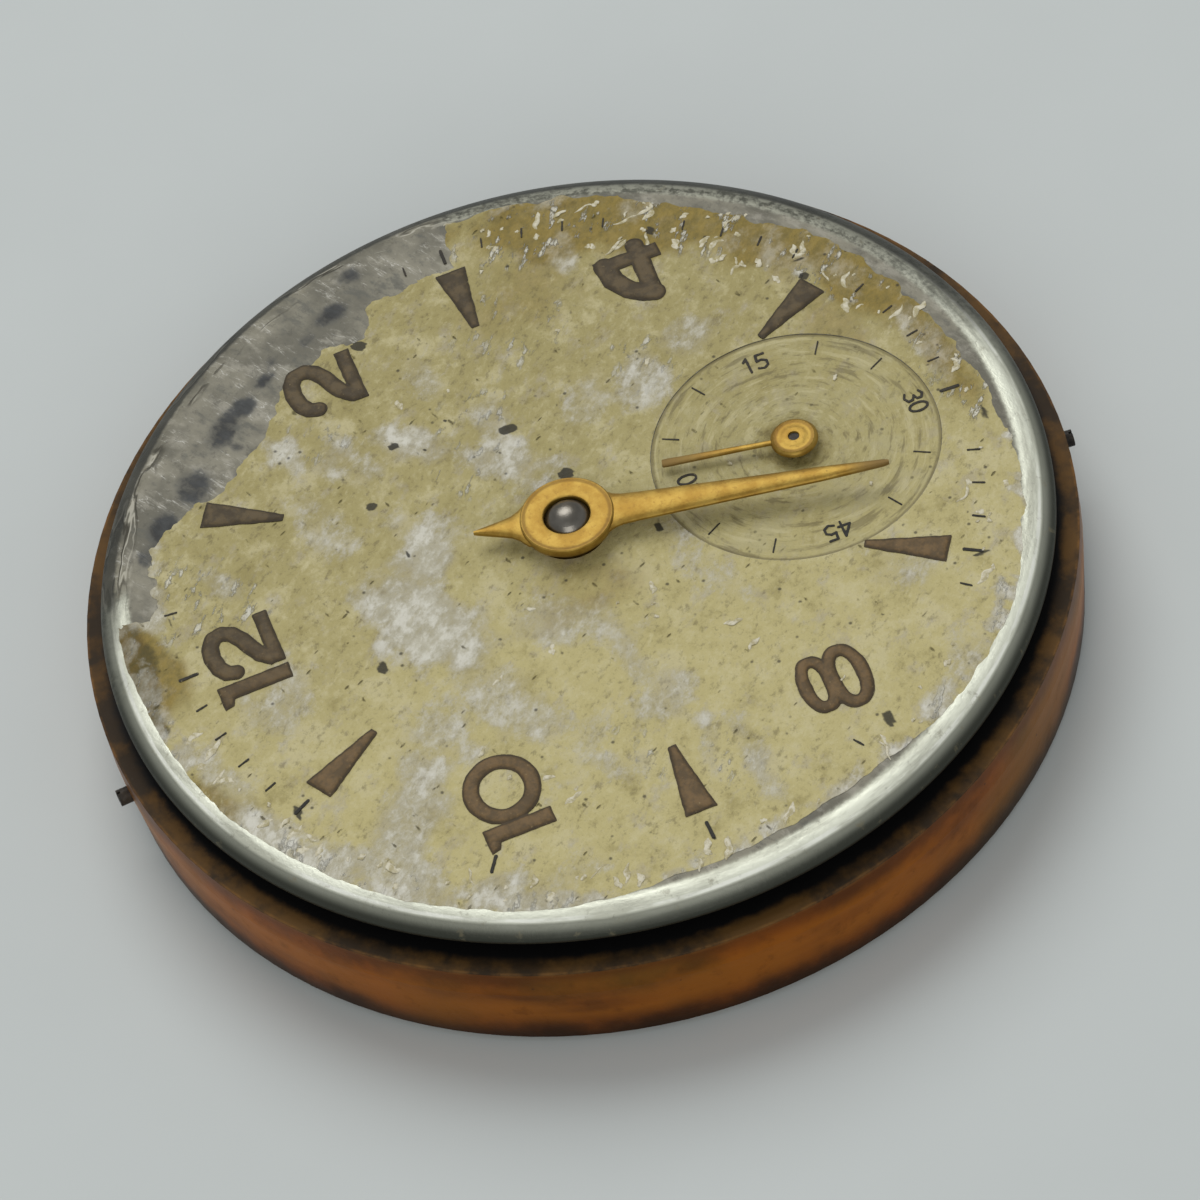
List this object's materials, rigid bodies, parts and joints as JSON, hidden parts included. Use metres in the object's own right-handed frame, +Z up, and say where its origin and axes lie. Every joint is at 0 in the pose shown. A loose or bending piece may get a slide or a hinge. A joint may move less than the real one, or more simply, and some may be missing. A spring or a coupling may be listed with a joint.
{
  "type": "watch movement",
  "caption": "Hand-wound round watch movement with dial, small seconds at six, minute and seconds hands, going train, lever escapement, balance and keyless winding work.",
  "frame": {"origin": "on the hands' axis, at the outer face of the bridges that the movement lies on", "axes": "+Z up out of the dial, +Y to 12 o'clock, +X to 3 o'clock along the winding stem"},
  "size_m": [0.0302, 0.0298, 0.006],
  "materials": {
    "plate_copper": "copper-toned brass with brown tarnish",
    "bridge_gilt": "fine-grained gilt brass, dulled with age",
    "gilt_brass": "polished gilt brass",
    "brass": "plain brass",
    "gilt_hand": "yellow gilt with brown patina",
    "steel": "brushed and polished steel",
    "dark_steel": "blackened steel",
    "blued_steel": "blued steel",
    "spring_steel": "tempered spring steel",
    "ruby": "polished ruby",
    "dial_paint": "aged cream paint with worn chalky patches and a bare silver rim"
  },
  "bodies": {
    "frame": {"main_plate": "plate_copper", "plate_jewels": "ruby", "dial": "dial_paint", "dial_foot_screws": "dark_steel", "dial_washer": "brass", "setting_lever_screw": "blued_steel", "yoke_spring": "steel", "setting_bridge": "steel", "setting_bridge_screws": "blued_steel", "pallet_bridge": "bridge_gilt", "pallet_bridge_screws": "blued_steel", "hairspring": "blued_steel", "hairspring_stud": "steel", "balance_cock": "bridge_gilt", "end_piece": "steel", "barrel_bridge": "bridge_gilt", "train_bridge": "bridge_gilt", "bridge_jewels": "ruby", "bridge_screws": "blued_steel", "crown_wheel_core": "steel", "crown_wheel_screw": "blued_steel", "click_spring": "spring_steel", "click_screw": "blued_steel"},
    "fourth": {"fourth_wheel": "gilt_brass", "fourth_pinion": "steel", "seconds_hand": "gilt_hand"},
    "third": {"third_wheel": "gilt_brass", "third_pinion": "steel"},
    "centre": {"centre_wheel": "gilt_brass", "centre_pinion": "steel", "cannon_pinion": "steel", "minute_hand": "gilt_hand"},
    "barrel": {"barrel_drum": "brass", "barrel_cover": "brass", "mainspring": "spring_steel"},
    "escape": {"escape_wheel": "steel", "escape_pinion": "steel"},
    "minute_work": {"minute_wheel": "brass"},
    "hour_work": {"hour_wheel": "brass"},
    "setting_work": {"setting_wheel": "steel"},
    "fork": {"pallet_fork": "steel", "pallet_stones": "ruby", "pallet_arbor": "steel"},
    "balance": {"balance_wheel": "gilt_brass", "balance_screws": "gilt_brass", "balance_staff": "steel", "roller": "steel", "impulse_jewel": "ruby", "hairspring_collet": "brass"},
    "regulator": {"regulator": "steel"},
    "ratchet": {"ratchet_wheel": "steel", "ratchet_screw": "blued_steel", "barrel_arbor": "steel"},
    "crown_work": {"crown_wheel": "steel"},
    "winding": {"winding_pinion": "steel"},
    "stem": {"winding_stem": "steel"},
    "clutch": {"sliding_pinion": "steel"},
    "lever": {"setting_lever": "steel"},
    "yoke": {"yoke": "steel"},
    "click": {"click": "steel"}
  },
  "joints": [
    {"name": "seconds_turn", "type": "hinge", "parent": "frame", "child": "fourth", "pos_m": [0, -0.007, 0.002], "axis": [0, 0, 1], "continuous": true},
    {"name": "third_turn", "type": "hinge", "parent": "frame", "child": "third", "pos_m": [0.00181, -0.00392, 0.002], "axis": [0, 0, 1], "continuous": true},
    {"name": "minute_hand_turn", "type": "hinge", "parent": "frame", "child": "centre", "pos_m": [0, 0, 0.002], "axis": [0, 0, 1], "continuous": true},
    {"name": "barrel_turn", "type": "hinge", "parent": "frame", "child": "barrel", "pos_m": [0.00307, 0.00577, 0.002], "axis": [0, 0, 1], "continuous": true},
    {"name": "escape_turn", "type": "hinge", "parent": "frame", "child": "escape", "pos_m": [-0.003, -0.00792, 0.002], "axis": [0, 0, 1], "continuous": true},
    {"name": "minute_wheel_turn", "type": "hinge", "parent": "frame", "child": "minute_work", "pos_m": [0.0031, -0.00113, 0.002], "axis": [0, 0, 1], "continuous": true},
    {"name": "hour_wheel_turn", "type": "hinge", "parent": "frame", "child": "hour_work", "pos_m": [0, 0, 0.002], "axis": [0, 0, 1], "continuous": true},
    {"name": "setting_wheel_turn", "type": "hinge", "parent": "frame", "child": "setting_work", "pos_m": [0.00672, 0, 0.002], "axis": [0, 0, 1], "continuous": true},
    {"name": "fork_swing", "type": "hinge", "parent": "frame", "child": "fork", "pos_m": [-0.0048, -0.00648, 0.002], "axis": [0, 0, 1], "range_deg": [-5, 5]},
    {"name": "balance_swing", "type": "hinge", "parent": "frame", "child": "balance", "pos_m": [-0.0074, -0.0044, 0.002], "axis": [0, 0, 1], "range_deg": [-270, 270], "stiffness_Nm_per_rad": 0.00000015, "deforming": ["hairspring"]},
    {"name": "regulator_turn", "type": "hinge", "parent": "frame", "child": "regulator", "pos_m": [-0.0074, -0.0044, 0.002], "axis": [0, 0, 1], "range_deg": [-12, 12]},
    {"name": "ratchet_turn", "type": "hinge", "parent": "frame", "child": "ratchet", "pos_m": [0.00307, 0.00577, 0.002], "axis": [0, 0, 1], "continuous": true, "deforming": ["mainspring"]},
    {"name": "crown_wheel_turn", "type": "hinge", "parent": "frame", "child": "crown_work", "pos_m": [0.00817, 0, 0.002], "axis": [0, 0, 1], "continuous": true},
    {"name": "winding_turn", "type": "hinge", "parent": "frame", "child": "winding", "pos_m": [0.0114, 0, 0.00205], "axis": [1, 0, 0], "continuous": true},
    {"name": "stem_pull", "type": "slide", "parent": "winding", "child": "stem", "axis": [1, 0, 0], "range_m": [0, 0.0006]},
    {"name": "clutch_shift", "type": "slide", "parent": "winding", "child": "clutch", "axis": [1, 0, 0], "range_m": [-0.0005, 0]},
    {"name": "lever_swing", "type": "hinge", "parent": "frame", "child": "lever", "pos_m": [0.0117, 0.00237, 0.002], "axis": [0, 0, 1], "range_deg": [0, 13.9]},
    {"name": "yoke_swing", "type": "hinge", "parent": "frame", "child": "yoke", "pos_m": [0.0098, 0.004, 0.002], "axis": [0, 0, 1], "range_deg": [-7.2, 0], "deforming": ["yoke_spring"]},
    {"name": "click_lift", "type": "hinge", "parent": "frame", "child": "click", "pos_m": [-0.00256, 0.00902, 0.002], "axis": [0, 0, 1], "range_deg": [0, 12], "stiffness_Nm_per_rad": 0.0000001, "deforming": ["click_spring"]}
  ],
  "couplings": [
    {"joint": "third_turn", "follows": "seconds_turn", "ratio": -0.13333},
    {"joint": "minute_hand_turn", "follows": "seconds_turn", "ratio": 0.016667},
    {"joint": "barrel_turn", "follows": "seconds_turn", "ratio": -0.0027778},
    {"joint": "escape_turn", "follows": "seconds_turn", "ratio": -10},
    {"joint": "minute_wheel_turn", "follows": "seconds_turn", "ratio": -0.0055556},
    {"joint": "hour_wheel_turn", "follows": "seconds_turn", "ratio": 0.0013889},
    {"joint": "setting_wheel_turn", "follows": "seconds_turn", "ratio": 0.010417},
    {"joint": "crown_wheel_turn", "follows": "ratchet_turn", "ratio": -1.8519},
    {"joint": "winding_turn", "follows": "ratchet_turn", "ratio": -3.125},
    {"joint": "clutch_shift", "follows": "stem_pull", "ratio": -0.83},
    {"joint": "lever_swing", "follows": "stem_pull", "rad_per_m": 404},
    {"joint": "yoke_swing", "follows": "stem_pull", "rad_per_m": -208.8}
  ]
}
